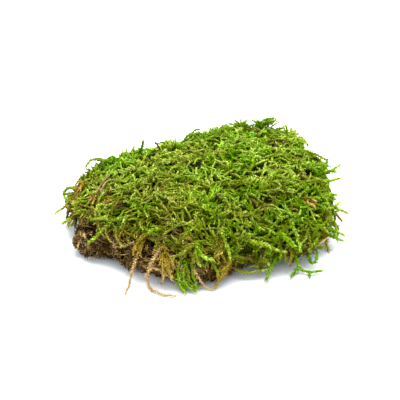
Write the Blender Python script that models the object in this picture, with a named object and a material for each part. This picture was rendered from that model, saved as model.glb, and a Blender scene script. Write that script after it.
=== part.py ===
"""A clump of carpet moss: a green mat of leafy shoots on a brown felt of dead stems and humus.

Metres, +Z up. The origin is the centre of the flat patch of felt that the clump rests on, and
-Y is the side where the bare brown edge of the felt and its rootlets show.
"""

import random

import bmesh
import bpy
import numpy as np
from mathutils import Matrix, Vector, noise
from mathutils.bvhtree import BVHTree

MM = 0.001
GAP = 0.35  # clearance between pieces that touch, in mm

# ---------------------------------------------------------------- driving dimensions, in mm
# The mat's edge in plan, anticlockwise from the front tip: x, y, height of its lower edge there.
MOSS_EDGE = [
    (2, -69, 9), (14, -65, 8), (27, -60, 4), (42, -56, 4), (55, -51, 4), (65, -43, 4),
    (72, -29, 3), (75, -8, 2), (74, 18, 2), (69, 43, 2), (59, 64, 2), (43, 76, 2),
    (25, 75, 2), (5, 67, 2), (-14, 56, 2), (-32, 45, 2), (-48, 35, 2), (-60, 27, 2),
    (-69, 15, 3), (-74, 2, 4), (-74, -12, 8), (-67, -24, 15), (-57, -35, 17),
    (-43, -47, 18), (-27, -57, 18), (-11, -67, 15),
]
# The felt's edge in plan: x, y, height of its underside there, height of its top there.
FELT_EDGE = [
    (0, -74, 3, 16), (13, -66, 2, 13), (27, -54, 2, 11), (42, -48, 2, 11), (55, -42, 2, 11),
    (64, -28, 2, 11), (67, -8, 2, 11), (66, 17, 2, 11), (60, 40, 2, 11), (51, 56, 2, 11),
    (40, 66, 2, 11), (25, 65, 2, 11), (5, 58, 2, 11), (-14, 47, 2, 11), (-31, 36, 2, 11),
    (-46, 27, 2, 11), (-57, 18, 2, 12), (-65, 4, 3, 13), (-68, -12, 5, 15), (-68, -27, 8, 16),
    (-71, -39, 4, 14), (-63, -45, 1, 17), (-53, -49, 6, 19), (-42, -56, 5, 20),
    (-30, -64, 4, 20), (-14, -71, 4, 19),
]
FELT_CROWN = 13      # height of the felt's top in the middle
FELT_WAIST = 0.4     # share of the rim's height at which the felt is widest
FELT_REACH = 72      # the felt's rough radius
REST_SHARE = 0.82    # share of the felt's radius that lies flat on the ground
MOSS_WAIST = 15      # height at which the mat is widest, where its lower edge is low
LOW_SKIRT = 4        # a lower edge above this lifts the waist
WAIST_LIFT = 0.45    # how far, for each mm
MOSS_CROWN = 36      # height of the mat in the middle
MOSS_LEAN = 0.035    # how much higher the mat's top is for each mm towards +X
MOSS_REACH = 75      # the mat's rough radius
TOP_SQUARE = 2.7     # roundness of a section: 2 is an ellipse, more is squarer
FOOT_SQUARE = 4.0
FELT_SQUARE = 3.2
WAIST_TURN = 0.7     # share of the cube ball's half turn that lies above the waist
SWELL = 4.0          # broad rises and hollows on the top
SWELL_LENGTH = 34

# Locks of shoots, which the mat is thatched with.
LOCKS_APART = 11.5
LOCK_LENGTH = 21
LOCK_WIDTH = 9.5
LOCK_RISE = 4.6
LOCK_SIZES = (0.75, 1.3)    # shares of the length and width
LOCK_HEIGHTS = (0.7, 1.2)   # shares of the rise
LOCK_BED = 0.32             # depth of the gaps between locks, as a share of the rise
LOCK_DROOP = 25             # how far a lock at the middle's edge points down as it points outwards
LOCK_SWING = (0.75, 0.3)    # how far locks turn from that, in plan and up or down
LOCK_BEND = 0.9             # how far a lock's tip bends aside, in half widths
LOCK_ROOT = 1.25            # half lengths from a lock's middle back to where its wedge starts
LOCK_TIP = 0.4              # and forward to where its tip rounds off
LOCK_ROUND = 0.8            # less is flatter across
LOW_LOCKS = 0.4             # share of the rise near the ground

CRUMB = 2.8          # height of the felt's lumps
CRUMB_LENGTH = 9
GRAIN = 0.6          # share of that height in smaller lumps
GRAIN_LENGTH = 3.8
CRUMB_CLEAR = 0.7    # lumps beside the resting face stay this far off the ground
FLAT = 0.01          # what lies lower than this is the resting face

MOSS_CUTS = 54       # cuts along a side of the cube that each form starts from
MOSS_FACES = 3900    # triangles left in the mat
FELT_CUTS = 34
FELT_FACES = 1500

# Leafy shoots that stand clear of the mat: the stem's points, then side shoots, each from the
# stem's point of that number. The first point is inside the mat or the felt.
SHOOTS = {
    "shoot_left_tip": ([(-66, -3, 18), (-74, -5, 16), (-79, -5, 12), (-85, -8, 9)],
                       [(2, (-79, -1, 15))]),
    "shoot_left_low": ([(-60, -20, 18), (-71, -19, 13), (-75, -18, 11), (-80, -18, 8)],
                       [(1, (-74, -22, 9)), (2, (-76, -14, 8))]),
    "shoot_left_loop": ([(-68, -5, 23), (-75, -4, 24), (-79, -4, 22), (-79.5, -6, 19),
                         (-76, -8, 17.5)], []),
    "shoot_left_arch": ([(-57, 19, 29), (-61, 16, 32), (-65, 14, 32.5), (-68, 12, 29)], []),
    "shoot_top_left_spike": ([(-37, 26, 30), (-35, 26, 35), (-34, 26, 39.5)], []),
    "shoot_top_nod": ([(-11, 40, 29), (-8, 42, 34.5), (-5, 43, 36)], []),
    "shoot_top_bent": ([(5, 39, 31), (2, 41, 36), (-2, 43, 36.5)], [(1, (3, 44, 37))]),
    "shoot_back_crest": ([(35, 64, 30), (41, 64, 35), (47, 63, 37)], [(1, (44, 68, 34))]),
    "shoot_right_1": ([(63, 30, 30), (69, 23, 32), (75, 18, 31)], []),
    "shoot_right_2": ([(68, 6, 28), (73, 6, 31), (75, 9, 35)], []),
    "shoot_right_3": ([(68, 6, 26), (77, 9, 28), (83, 14, 29)], [(1, (80, 6, 29))]),
    "shoot_right_4": ([(66, -5, 26), (75, -2, 27), (82, 0, 28)], []),
    "shoot_right_5": ([(68, -15, 24), (74, -14, 25), (79, -13, 24)], [(1, (78, -17, 23))]),
    "shoot_right_6": ([(68, -18, 20), (77, -17, 18), (85, -16, 14)], [(1, (81, -13, 19))]),
    "shoot_right_7": ([(66, -34, 15), (75, -32, 12), (82, -31, 8)], [(1, (78, -35, 7))]),
    "shoot_right_8": ([(64, -30, 11), (73, -31, 8), (81, -32, 5)], []),
    "shoot_front_right_curl": ([(58, -44, 12), (60, -50, 8), (61, -53, 4), (64, -53, 4),
                                (65, -50, 8)], []),
    "shoot_front_right": ([(50, -49, 13), (53, -56, 8), (55, -58, 3), (60, -60, 2), (67, -59, 2)],
                          [(2, (52, -60, 2), (50, -64, 1.5)), (3, (60, -64, 1.5))]),
    "shoot_front_hanging": ([(45, -50, 14), (42, -57, 10), (39, -61, 6), (36, -68, 2)],
                            [(2, (36, -57, 8))]),
    "shoot_front_arc": ([(13, -56, 11), (17, -61, 6.5), (23, -64, 4.5), (30, -64, 4.5),
                         (36, -62, 5)], []),
    "shoot_front_pale": ([(14, -60, 12), (12, -68, 7), (8, -75, 2)], []),
    "shoot_front_tip": ([(-10, -64, 15), (-9, -71, 9), (-5, -76, 3), (-2, -79, 2)],
                        [(1, (-11, -75, 4), (-8, -80, 2)), (2, (-1, -75, 2))]),
    "shoot_over_felt": ([(-47, -40, 24), (-53, -45, 21), (-58, -47, 16), (-62, -46, 12)], []),
    "shoot_back_left": ([(-50, 34, 22), (-56, 41, 19), (-60, 46, 13)], [(1, (-52, 46, 15))]),
    "shoot_back_1": ([(-28, 42, 24), (-31, 52, 20), (-34, 57, 13)], []),
    "shoot_back_2": ([(-2, 56, 24), (-6, 66, 18), (-7, 71, 10)], [(1, (-11, 67, 13))]),
    "shoot_back_3": ([(20, 68, 27), (18, 78, 20), (16, 83, 12)], [(1, (23, 82, 15))]),
    "shoot_back_right": ([(56, 58, 25), (65, 68, 20), (70, 73, 13)], [(1, (64, 73, 14))]),
    "shoot_right_back": ([(66, 38, 20), (76, 42, 15), (81, 46, 8)], []),
}
# Bare rootlets that hang from the felt's open side and trail on the ground.
ROOTS = {
    "root_left": ([(-33, -58, 15), (-35, -65, 12), (-37, -68, 6), (-38, -71, 2), (-40, -80, 1)],
                  []),
    "root_long": ([(-20, -60, 20), (-24, -70, 18), (-27, -72, 13), (-28.5, -72, 7), (-28, -72, 2),
                   (-26, -76, 1), (-21, -80, 1), (-13, -82, 1)], [(2, (-22, -73, 12))]),
    "root_short": ([(-18, -64, 13), (-20, -72, 12), (-19.5, -71, 5), (-22, -70, 1)], []),
    "root_curl": ([(-13, -64, 15), (-16, -72, 14), (-16, -74, 10), (-15, -72, 5), (-13, -70, 1.5)],
                  []),
    "stem_dead": ([(-4, -64, 12), (-3, -73, 12), (0, -74, 6), (3, -74, 2), (7, -76, 1)], []),
}
# Dry twigs that stick out of the mat.
TWIGS = {
    "twig_right": ([(55, -46, 5), (65, -44, 9), (72, -40, 12)], []),
    "twig_dark": ([(-24, 31, 31), (-27, 27, 38)], []),
}
# Dry straws lying on the mat: in plan, with the height of each point above the mat.
STRAWS = {
    "straw_1": [(-60, -17, -1), (-56, -11, 1), (-52, -4, 0)],
    "straw_2": [(-57, -17, 0), (-54, -11, 1), (-49, -6, -1)],
}
SHOOT_GIRTH = (1.0, 0.6)   # radius at the base and at the tip
ROOT_GIRTH = (0.75, 0.45)
TWIG_GIRTH = (0.55, 0.4)
SIDE_GIRTH = 0.8           # a side shoot's radius as a share of its stem's
FLAKE = (-62, -37)         # a scrap of dead leaf on the felt's open edge
FLAKE_SIZE = (1.2, 2.2, 0.5)
FLAKE_LIFT = 0.3
SKY = 100                  # a height above everything

DEAD = ("dead_stems_and_humus", (0.16, 0.095, 0.045), 0.95)
LIVING = ("living_moss", (0.13, 0.26, 0.02), 0.7)
PALE = ("rootlets", (0.45, 0.3, 0.14), 0.8)
STRAW = ("dry_straw", (0.33, 0.22, 0.11), 0.75)


# ---------------------------------------------------------------- forms
def read_edge(edge, angles):
    """The radius, and the edge's other columns, in each direction, on a smooth closed curve."""
    table = np.array(edge, float)
    turns = np.arctan2(table[:, 1], table[:, 0])
    columns = np.column_stack([np.hypot(table[:, 0], table[:, 1]), table[:, 2:]])
    order = np.argsort(turns)
    turns, columns = turns[order], columns[order]
    count = len(turns)
    after = np.searchsorted(turns, angles) % count
    start = (after - 1) % count
    step = (turns[after] - turns[start]) % (2 * np.pi)
    share = (((angles - turns[start]) % (2 * np.pi)) / step)[:, None]
    before, beyond = columns[(start - 1) % count], columns[(after + 1) % count]
    low, high = columns[start], columns[after]
    bend = (high - before) * share + (2 * before - 5 * low + 4 * high - beyond) * share ** 2
    bend += (3 * low - 3 * high + beyond - before) * share ** 3
    return (low + bend / 2).T


def section(shares, squareness, wide, high):
    """Points of a quarter of a superellipse, evenly spaced by length: how far out, how high."""
    turns = np.linspace(0, np.pi / 2, 129)
    out = np.sin(turns) ** (2 / squareness)
    up = np.cos(turns) ** (2 / squareness)
    steps = np.hypot(np.diff(out) * wide, np.diff(up) * high)
    length = np.concatenate([[0], np.cumsum(steps)])
    at = shares * length[-1]
    return np.interp(at, length, out), np.interp(at, length, up)


def halves(directions):
    """Which directions lie above the waist, and how far each is from its pole, from 0 to 1."""
    tilt = np.arccos(np.clip(directions[:, 2], -1, 1)) / np.pi
    above = tilt <= WAIST_TURN
    return above, np.where(above, tilt / WAIST_TURN, (1 - tilt) / (1 - WAIST_TURN))


def moss_form(directions):
    """The mat's outer form: a flat-topped cushion with steep sides."""
    angles = np.arctan2(directions[:, 1], directions[:, 0])
    radius, skirt = read_edge(MOSS_EDGE, angles)
    above, shares = halves(directions)
    top_out, top_up = section(shares, TOP_SQUARE, MOSS_REACH, MOSS_CROWN - MOSS_WAIST)
    foot_out, foot_up = section(shares, FOOT_SQUARE, MOSS_REACH, MOSS_WAIST)
    out = radius * np.where(above, top_out, foot_out)
    x, y = out * np.cos(angles), out * np.sin(angles)
    waist = MOSS_WAIST + WAIST_LIFT * np.maximum(0, skirt - LOW_SKIRT)
    swell = [SWELL * noise.noise(Vector((a, b, SKY)) / SWELL_LENGTH) for a, b in zip(x, y)]
    upper = waist + (MOSS_CROWN + MOSS_LEAN * x + np.array(swell) - waist) * top_up
    lower = waist - (waist - skirt) * foot_up
    return np.column_stack([x, y, np.where(above, upper, lower)])


def felt_form(directions):
    """The felt's form: a thin slab, flat underneath, curling up at its open edge."""
    angles = np.arctan2(directions[:, 1], directions[:, 0])
    radius, lift, top = read_edge(FELT_EDGE, angles)
    above, shares = halves(directions)
    top_out, top_up = section(shares, FELT_SQUARE, FELT_REACH, FELT_CROWN * (1 - FELT_WAIST))
    share_out = np.where(above, top_out, shares)
    out = radius * share_out
    waist = lift + FELT_WAIST * (top - lift)
    crown = FELT_CROWN + (top - FELT_CROWN) * share_out ** 3
    upper = waist + (crown - waist) * top_up
    rim = np.clip((share_out - REST_SHARE) / (1 - REST_SHARE), 0, 1)
    lower = waist * (1 - np.sqrt(1 - rim ** 2))
    return np.column_stack([out * np.cos(angles), out * np.sin(angles),
                            np.where(above, upper, lower)])


def spread(points, apart, rng):
    """Numbers of the points that are kept so that none is nearer than apart to another."""
    order = list(range(len(points)))
    rng.shuffle(order)
    kept = [order[0]]
    for number in order:
        if np.min(np.sum((points[kept] - points[number]) ** 2, axis=1)) > apart ** 2:
            kept.append(number)
    return kept


def lock_way(point, up, rng):
    """The direction a lock lies in: outwards and down, turned at random, along the surface."""
    outward = np.array([point[0], point[1], -LOCK_DROOP])
    aside, tilt = LOCK_SWING
    swing = np.array([rng.gauss(0, aside), rng.gauss(0, aside), rng.gauss(0, tilt)])
    along = outward / np.linalg.norm(outward) + swing
    along -= up * (along @ up)
    return along / np.linalg.norm(along)


def lock_profile(reach, side):
    """How high a lock stands, from 0 to 1: a wedge, round across, that rises to a blunt tip."""
    tip = np.clip((reach - LOCK_TIP) / (1 - LOCK_TIP), 0, 1)
    wedge = (reach + LOCK_ROOT) / (LOCK_TIP + LOCK_ROOT) * (1 - tip ** 2)
    return wedge * np.clip(1 - side ** 2, 0, 1) ** LOCK_ROUND


def thatched(points, normals):
    """The mat's form covered with overlapping locks that rise towards their tips."""
    rng = random.Random(11)
    rise = np.zeros(len(points))
    for centre in spread(points, LOCKS_APART, rng):
        up = normals[centre]
        along = lock_way(points[centre], up, rng)
        across = np.cross(up, along)
        size = rng.uniform(*LOCK_SIZES)
        reach = (points - points[centre]) @ along / (LOCK_LENGTH * size / 2)
        side = (points - points[centre]) @ across / (LOCK_WIDTH * size / 2)
        side += rng.uniform(-LOCK_BEND, LOCK_BEND) * reach ** 2
        near = np.sum((points - points[centre]) ** 2, axis=1) < (LOCK_LENGTH * size) ** 2
        inside = near & (np.abs(reach) < 1) & (np.abs(side) < 1) & (normals @ up > 0)
        height = LOCK_RISE * rng.uniform(*LOCK_HEIGHTS) * lock_profile(reach, side)
        rise = np.where(inside, np.maximum(rise, height), rise)
    rise -= LOCK_BED * LOCK_RISE
    rise[points[:, 2] < MOSS_WAIST / 2] *= LOW_LOCKS
    return points + normals * rise[:, None]


def crumbled(points, normals):
    """The felt's form, roughened everywhere but on the face that it rests on."""
    lumps = [noise.noise(Vector(point) / CRUMB_LENGTH) for point in points]
    grains = [noise.noise(Vector(point) / GRAIN_LENGTH) for point in points]
    resting = points[:, 2] < FLAT
    rise = np.where(resting, 0, CRUMB * (np.array(lumps) + GRAIN * np.array(grains)))
    moved = points + normals * rise[:, None]
    moved[:, 2] = np.where(resting, 0, np.maximum(moved[:, 2], CRUMB_CLEAR))
    return moved


# ---------------------------------------------------------------- making solids
def put_in(collection, obj):
    collection.objects.link(obj)
    return obj


def paint(obj, name, colour, roughness):
    """Gives obj a plain Principled material; pieces of one kind share it."""
    material = bpy.data.materials.get(name) or bpy.data.materials.new(name)
    material.use_nodes = True
    shader = material.node_tree.nodes["Principled BSDF"]
    shader.inputs["Base Color"].default_value = (*colour, 1)
    shader.inputs["Roughness"].default_value = roughness
    shader.inputs["Metallic"].default_value = 0
    obj.data.materials.append(material)


def move_to(ball, points):
    for vertex, point in zip(ball.verts, points):
        vertex.co = Vector(point) * MM
    ball.normal_update()


def shaped(name, cuts, form, roughened, faces):
    """A cube ball drawn out to a form, roughened, and thinned to a number of triangles."""
    ball = bmesh.new()
    bmesh.ops.create_cube(ball, size=2)
    bmesh.ops.subdivide_edges(ball, edges=ball.edges[:], cuts=cuts, use_grid_fill=True)
    directions = np.array([vertex.co.normalized() for vertex in ball.verts])
    points = form(directions)
    move_to(ball, points)
    normals = np.array([vertex.normal for vertex in ball.verts])
    move_to(ball, roughened(points, normals))
    bmesh.ops.triangulate(ball, faces=ball.faces[:])
    mesh = bpy.data.meshes.new(name)
    ball.to_mesh(mesh)
    ball.free()
    obj = bpy.data.objects.new(name, mesh)
    thin = obj.modifiers.new("thin out", "DECIMATE")
    thin.ratio = faces / len(mesh.polygons)
    return obj


def settle(obj):
    """Applies obj's modifiers, and keeps its largest body if a cut has left crumbs."""
    bpy.context.view_layer.update()
    evaluated = obj.evaluated_get(bpy.context.evaluated_depsgraph_get())
    mesh = bpy.data.meshes.new_from_object(evaluated)
    obj.modifiers.clear()
    obj.data = mesh
    body = bmesh.new()
    body.from_mesh(mesh)
    left = set(body.verts)
    islands = []
    while left:
        island, front = set(), [left.pop()]
        while front:
            vertex = front.pop()
            island.add(vertex)
            linked = {edge.other_vert(vertex) for edge in vertex.link_edges} & left
            left -= linked
            front.extend(linked)
        islands.append(island)
    islands.sort(key=len)
    crumbs = [vertex for island in islands[:-1] for vertex in island]
    bmesh.ops.delete(body, geom=crumbs, context="VERTS")
    bmesh.ops.triangulate(body, faces=body.faces[:])
    body.to_mesh(mesh)
    body.free()
    return obj


def grown(name, obj, cutters):
    """A copy of obj, grown by the clearance, that its neighbours are cut with."""
    cutter = put_in(cutters, bpy.data.objects.new(name, obj.data.copy()))
    swell = cutter.modifiers.new("clearance", "DISPLACE")
    swell.strength, swell.mid_level = GAP * MM, 0
    cutter.hide_render = True
    cutter.display_type = "WIRE"
    return cutter


def cut_by(obj, cutter):
    cut = obj.modifiers.new("clear of " + cutter.name, "BOOLEAN")
    cut.operation, cut.object, cut.solver = "DIFFERENCE", cutter, "EXACT"


def tube(name, points, thick, thin):
    """A tapering tube of six sides along the points, as a closed mesh."""
    curve = bpy.data.curves.new(name, "CURVE")
    curve.dimensions = "3D"
    curve.bevel_depth = MM
    curve.bevel_resolution = 1
    curve.use_fill_caps = True
    spline = curve.splines.new("POLY")
    spline.points.add(len(points) - 1)
    for number, (corner, point) in enumerate(zip(spline.points, points)):
        corner.co = (*(Vector(point) * MM), 1)
        corner.radius = thick + (thin - thick) * number / (len(points) - 1)
    guide = bpy.data.objects.new(name, curve)
    mesh = bpy.data.meshes.new_from_object(guide)
    body = bmesh.new()
    body.from_mesh(mesh)
    bmesh.ops.remove_doubles(body, verts=body.verts, dist=MM / 1000)
    bmesh.ops.triangulate(body, faces=body.faces[:])
    body.to_mesh(mesh)
    body.free()
    bpy.data.objects.remove(guide)
    return bpy.data.objects.new(name, mesh)


def limb(name, stem, branches, girth, collection):
    """A stem with its side shoots, each a tube, joined into one body."""
    thick, thin = girth
    trunk = put_in(collection, tube(name, stem, thick, thin))
    sides = []
    for number, *points in branches:
        start = thick + (thin - thick) * number / (len(stem) - 1)
        side = tube(name + "_side", [stem[number], *points], SIDE_GIRTH * start, thin)
        bpy.context.scene.collection.objects.link(side)
        join = trunk.modifiers.new("join", "BOOLEAN")
        join.operation, join.object, join.solver = "UNION", side, "EXACT"
        sides.append(side)
    settle(trunk)
    for side in sides:
        bpy.data.objects.remove(side)
    return trunk


def tree_of(obj):
    """The surface of a settled object, for finding places on it."""
    return BVHTree.FromPolygons([corner.co for corner in obj.data.vertices],
                                [face.vertices for face in obj.data.polygons])


def below(surface, x, y):
    """The place straight below (x, y) on a surface, in mm, and the surface's normal there."""
    place, normal = surface.ray_cast(Vector((x, y, SKY)) * MM, Vector((0, 0, -1)))[:2]
    return place / MM, normal


def flake(name, felt_surface, collection):
    """A thin scrap of leaf lying against the felt's open edge."""
    place, normal = below(felt_surface, *FLAKE)
    scrap = bmesh.new()
    lie = normal.to_track_quat("Z", "Y").to_matrix().to_4x4()
    lie.translation = (place + FLAKE_LIFT * normal) * MM
    size = Matrix.Diagonal((*(Vector(FLAKE_SIZE) * MM), 1))
    bmesh.ops.create_icosphere(scrap, subdivisions=1, radius=1, matrix=lie @ size)
    mesh = bpy.data.meshes.new(name)
    scrap.to_mesh(mesh)
    scrap.free()
    return put_in(collection, bpy.data.objects.new(name, mesh))


def main():
    for obj in list(bpy.data.objects):
        bpy.data.objects.remove(obj)
    clump = bpy.data.collections.new("moss_clump")
    cutters = bpy.data.collections.new("cutters")
    for collection in (clump, cutters):
        bpy.context.scene.collection.children.link(collection)

    felt = put_in(clump, shaped("root_felt", FELT_CUTS, felt_form, crumbled, FELT_FACES))
    settle(felt)
    paint(felt, *DEAD)
    felt_space = grown("felt_clearance", felt, cutters)

    moss = put_in(clump, shaped("moss_mat", MOSS_CUTS, moss_form, thatched, MOSS_FACES))
    settle(moss)
    cut_by(moss, felt_space)
    settle(moss)
    paint(moss, *LIVING)
    clump_space = grown("clump_clearance", moss, cutters)
    merge = clump_space.modifiers.new("join", "BOOLEAN")
    merge.operation, merge.object, merge.solver = "UNION", felt_space, "EXACT"
    merge.use_self = True
    settle(clump_space)

    moss_surface = tree_of(moss)
    straws = {}
    for name, points in STRAWS.items():
        stem = [(x, y, below(moss_surface, x, y)[0].z + above) for x, y, above in points]
        straws[name] = (stem, [])

    pieces = [(flake("leaf_scrap", tree_of(felt), clump), STRAW)]
    kinds = ((SHOOTS, SHOOT_GIRTH, LIVING), (ROOTS, ROOT_GIRTH, PALE),
             (TWIGS, TWIG_GIRTH, STRAW), (straws, TWIG_GIRTH, STRAW))
    for table, girth, look in kinds:
        for name, (stem, branches) in table.items():
            pieces.append((limb(name, stem, branches, girth, clump), look))
    for piece, look in pieces:
        cut_by(piece, clump_space)
        settle(piece)
        paint(piece, *look)


main()
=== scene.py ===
"""The looks of a clump of carpet moss: its leafy shoots, dead felt, rootlets and litter.

The clump rests on z = 0 and its bare brown edge faces -Y. Lengths are in mm up to the point
where a mesh is made.
"""

import functools
import math
import random

import bmesh
import bpy
import numpy as np
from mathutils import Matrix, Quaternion, Vector, noise
from mathutils.bvhtree import BVHTree


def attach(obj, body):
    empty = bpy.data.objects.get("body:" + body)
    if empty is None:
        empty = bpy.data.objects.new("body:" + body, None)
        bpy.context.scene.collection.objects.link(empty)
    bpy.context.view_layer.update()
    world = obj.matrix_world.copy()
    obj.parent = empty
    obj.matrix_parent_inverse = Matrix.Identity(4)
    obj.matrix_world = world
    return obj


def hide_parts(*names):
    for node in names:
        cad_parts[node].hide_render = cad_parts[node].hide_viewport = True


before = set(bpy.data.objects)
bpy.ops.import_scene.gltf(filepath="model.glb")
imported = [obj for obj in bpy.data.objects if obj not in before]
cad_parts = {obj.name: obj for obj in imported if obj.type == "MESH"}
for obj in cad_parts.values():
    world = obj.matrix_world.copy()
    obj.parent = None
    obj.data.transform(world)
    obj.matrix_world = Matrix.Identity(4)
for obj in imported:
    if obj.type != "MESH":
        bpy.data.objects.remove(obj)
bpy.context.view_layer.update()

MM = 0.001
TURN = 2 * math.pi
GOLDEN_TURN = math.pi * (3 - math.sqrt(5))

# ---- the camera and the light
PHOTO_SIDE = 400             # pixels along each side of the photograph
SENSOR = 36
LENS = 100
CAMERA_RISE = math.radians(30)
CAMERA_AWAY = 645
LOOK_AT = (0, -13, 16)
LOOK_AT_PIXEL = (200, 207)   # where that point is in the photograph
FLOOR_SIZE = 8               # in metres, like the softbox's size and place
FLOOR_COLOUR = (0.85, 0.85, 0.85)
SKY_COLOUR = (0.89, 0.95, 1.0)
SKY_STRENGTH = 1.5
SOFTBOX_AT = (0.1, 0.28, 1.0)
SOFTBOX_SIZE = 0.9
SOFTBOX_COLOUR = (1.0, 0.98, 0.94)
SOFTBOX_POWER = 22

# ---- how lit the shoots are, as a share up their palette
LIGHT_BY_X = (-80, -45, 60), (0.82, 1.01, 0.91)
LIGHT_BY_Y = (-62, 5, 45), (0.69, 0.98, 1.14)
LIGHT_BY_Z = (6, 34), (0.64, 1.0)
TIP_LIGHT = (0.41, 1.10)     # from shoot to shoot
GAP_LIGHT = 0.2              # of the base of a shoot in a gap,
BASE_LIGHT = 0.25            # in the mat
EDGE_LIGHT = 0.3             # and at its edge

# ---- leafy shoots
STEM = 0.54                  # radius of a leafy stem
STEM_STEP = 1.9              # spacing of the points along it
STEM_SIDES = 4
STEM_LIGHT = 0.6             # how lit it is, against its leaves
TIP_GIRTH = 0.75             # how thick a shoot is at its tip, as a share of its base
LEAF_LENGTH = 1.6
LEAF_WIDTH = 0.95
LEAF_WIDEST = 0.42 * LEAF_LENGTH
LEAF_KEEL = 0.16 * LEAF_LENGTH
LEAF_START = 0.7             # how far out a leaf starts, as a share of the stem's radius
LEAF_LIGHT = (0.5, 0.85, 1.1, 0.85)  # how lit its base, left, tip and right are
LEAF_SIZES = (0.8, 1.2)      # from leaf to leaf
LEAF_ANGLES = (0.7, 1.3)
LEAF_TINTS = 0.015
LEAVES_PER_MM = 2.4
LEAF_SPREAD = (0.55, 0.35)   # angle of the leaves to their stem, at its base and its tip
SHAGGY = (0.8, 0.5)          # the same where they stand out more
PALETTE_ENDS = (0.004, 0.996)
SPARKLE = (0.35, 1.55)       # painted glints and shade: how much brighter or duller single leaves are lit
DEAD_SPARKLE = (0.2, 1.3)    # and those of a dead shoot
DEAD_TINT = 0.4              # moss tints below this are dead
UNDERSIDE_SHADE = 0.3              # painted shade: how much duller leaves are that point down, and painted light: how much brighter those up
WANDER = 0.065               # how far a shoot strays from its arc, as a share of its length

# ---- the mat
SECTORS = 6
MIDDLE_Y = -5                # the shoots on its sides point away from here
SIDE_PROUD = (-1.6, 1.0)     # how far a tip may stand out of the mat's solid on its sides
TOP_PROUD = (-1.0, 2.2)      # and on its top
TOP_NORMAL = 0.6             # the top is where the surface's normal rises by more than this
SWIRLS = 26                  # size of the swirls that shoots lie in
SWIRL_SPREAD = 0.65          # how far single ones turn out of them, in radians
SAG = 0.5                    # how much the shoots on the sides turn outwards
SAG_RISE = -40.0             # and down, against how far they are from the middle
GIRTHS = (0.85, 1.15)
GIRTH_BY_Z = (12, 33), (1.4, 1.0)
LOWEST = 0.3                 # nothing lies lower than this over the ground
TRIES = 8                    # places tried for each that fits, in spreading places evenly

CREEP = 1.6                  # step of a stem that creeps along the surface
CREEP_BEND = 0.055           # spread of its turning, in radians per mm
CREEP_DEPTH = (5.5, 1.0)     # how far below the mat's surface a stem starts, and ends
FRONDS_APART = 5.8
FROND_LENGTH = (12, 30)
FROND_GIRTH = 1.1
FROND_BASE_BY_Y = (-60, 0), (0.2, 0.4)  # how lit its base is, against its tip
BRANCHES_APART = 2.8
BRANCHINESS = (0.2, 0.9)     # share of the places for a branch that have one
BRANCHED = (0.12, 0.93)      # the part of the stem that has branches
BRANCH_LENGTH = (4, 9)
BRANCH_SIZES = (0.6, 1.2)
BRANCH_SHORTEST = 2
BRANCH_ANGLE = (0.5, 1.1)
BRANCH_LEAN = (0.3, 0.4)     # how far it turns towards the stem's tip: mean and spread
BRANCH_LIFT = (0.15, 0.25)   # and upwards
BRANCH_GIRTHS = (0.8, 1.0)
BRANCH_TINTS = 0.03
BRANCH_LIGHT = (0.4, 1.08)   # of its base, against the stem there, and of its tip

UNDERLAY_APART = 4.6         # stems deep in the mat, dulled by painted shade
UNDERLAY_LENGTH = (10, 20)
UNDERLAY_DEPTH = (6.0, 3.5)
UNDERLAY_BEND = 0.05
UNDERLAY_GIRTH = 1.1
UNDERLAY_LEAVES = 1.2        # per mm
UNDERLAY_TINTS = (0.0, 0.3), (0.36, 0.8)
UNDERLAY_LIGHT_BY_Y = (-60, 0), (0.25, 0.5)
RISERS_APART = 3.5           # single shoots whose tips come up out of the mat
RISER_LENGTH = (7, 12)
RISER_DEPTH = (3.0, 4.5)
RISER_RISE = (0.3, 0.7)
FILLERS_APART = 1.9          # places looked at for a gap between the shoots
FILLER_LENGTH = (5, 9)
FILLER_DEPTH = (3, 0.8)      # of its start, and of its end
FILLER_PROUD = 0.4
FILLER_LIGHT = 0.85
GAP = 1.4                    # size of the cells that a gap is looked for in
GAP_DEPTH = 2.0              # how deep a gap has to be to get a shoot of its own
GAP_NORMAL = 0.4             # gaps are looked for from above where the normal rises by more
HANGERS_APART = 4.6          # shoots that hang from the mat's lower edge
HANGER_LENGTH = (5, 13)
HANGER_SPREAD = 0.9
HANGER_FALL = (-1.0, -0.2)
HANGER_GIRTH = 1.05
HANGER_TINTS = (0.3, 0.54)
HANGERS_LIKE_MAT = 0.7       # share of them in the mat's own colours
FRINGE_APART = 2.2           # short shoots along its lower edge over the open felt
FRINGE_LENGTH = (3.5, 7)
FRINGE_SPREAD = 0.8
FRINGE_FALL = (0.2, 1.2)
FRINGE_GIRTH = 1.1
FRINGE_TINTS = (0.26, 0.5)
FRINGE_LIGHT = (0.35, 0.85)
ACCENT_PROUD = 1.3           # how far the accents are moved towards the camera
ACCENT_GIRTH = 1.2
ACCENT_LIGHT = 0.76
DEAD_ACCENT_LIGHT = 0.7
TUFT_SHARES = (1, 0.85, 0.65)  # how far towards each tip of a tuft its shoots reach
TUFT_GIRTHS = (0.9, 1.2)
TUFT_TINTS = 0.04
TUFT_LIGHT = (0.6, 1.08)
DEAD_TUFT_LIGHT = (0.9, 1.5)
STRAY_GIRTH = 1.5            # the stray shoots
STRAY_LEAVES = 2.8
STRAY_SPREAD = (0.65, 0.45)
STRAY_GREENS = (0.62, 0.74)
STRAY_LIGHT = (0.35, 0.68)
SIDE_GIRTH = 1.4             # and the side shoots on them
SIDE_LEAVES = 2.6
SIDE_LIGHT = (0.45, 0.68)
FADED_TINT = 0.55            # stray shoots with a tint below this are shaggy

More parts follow.
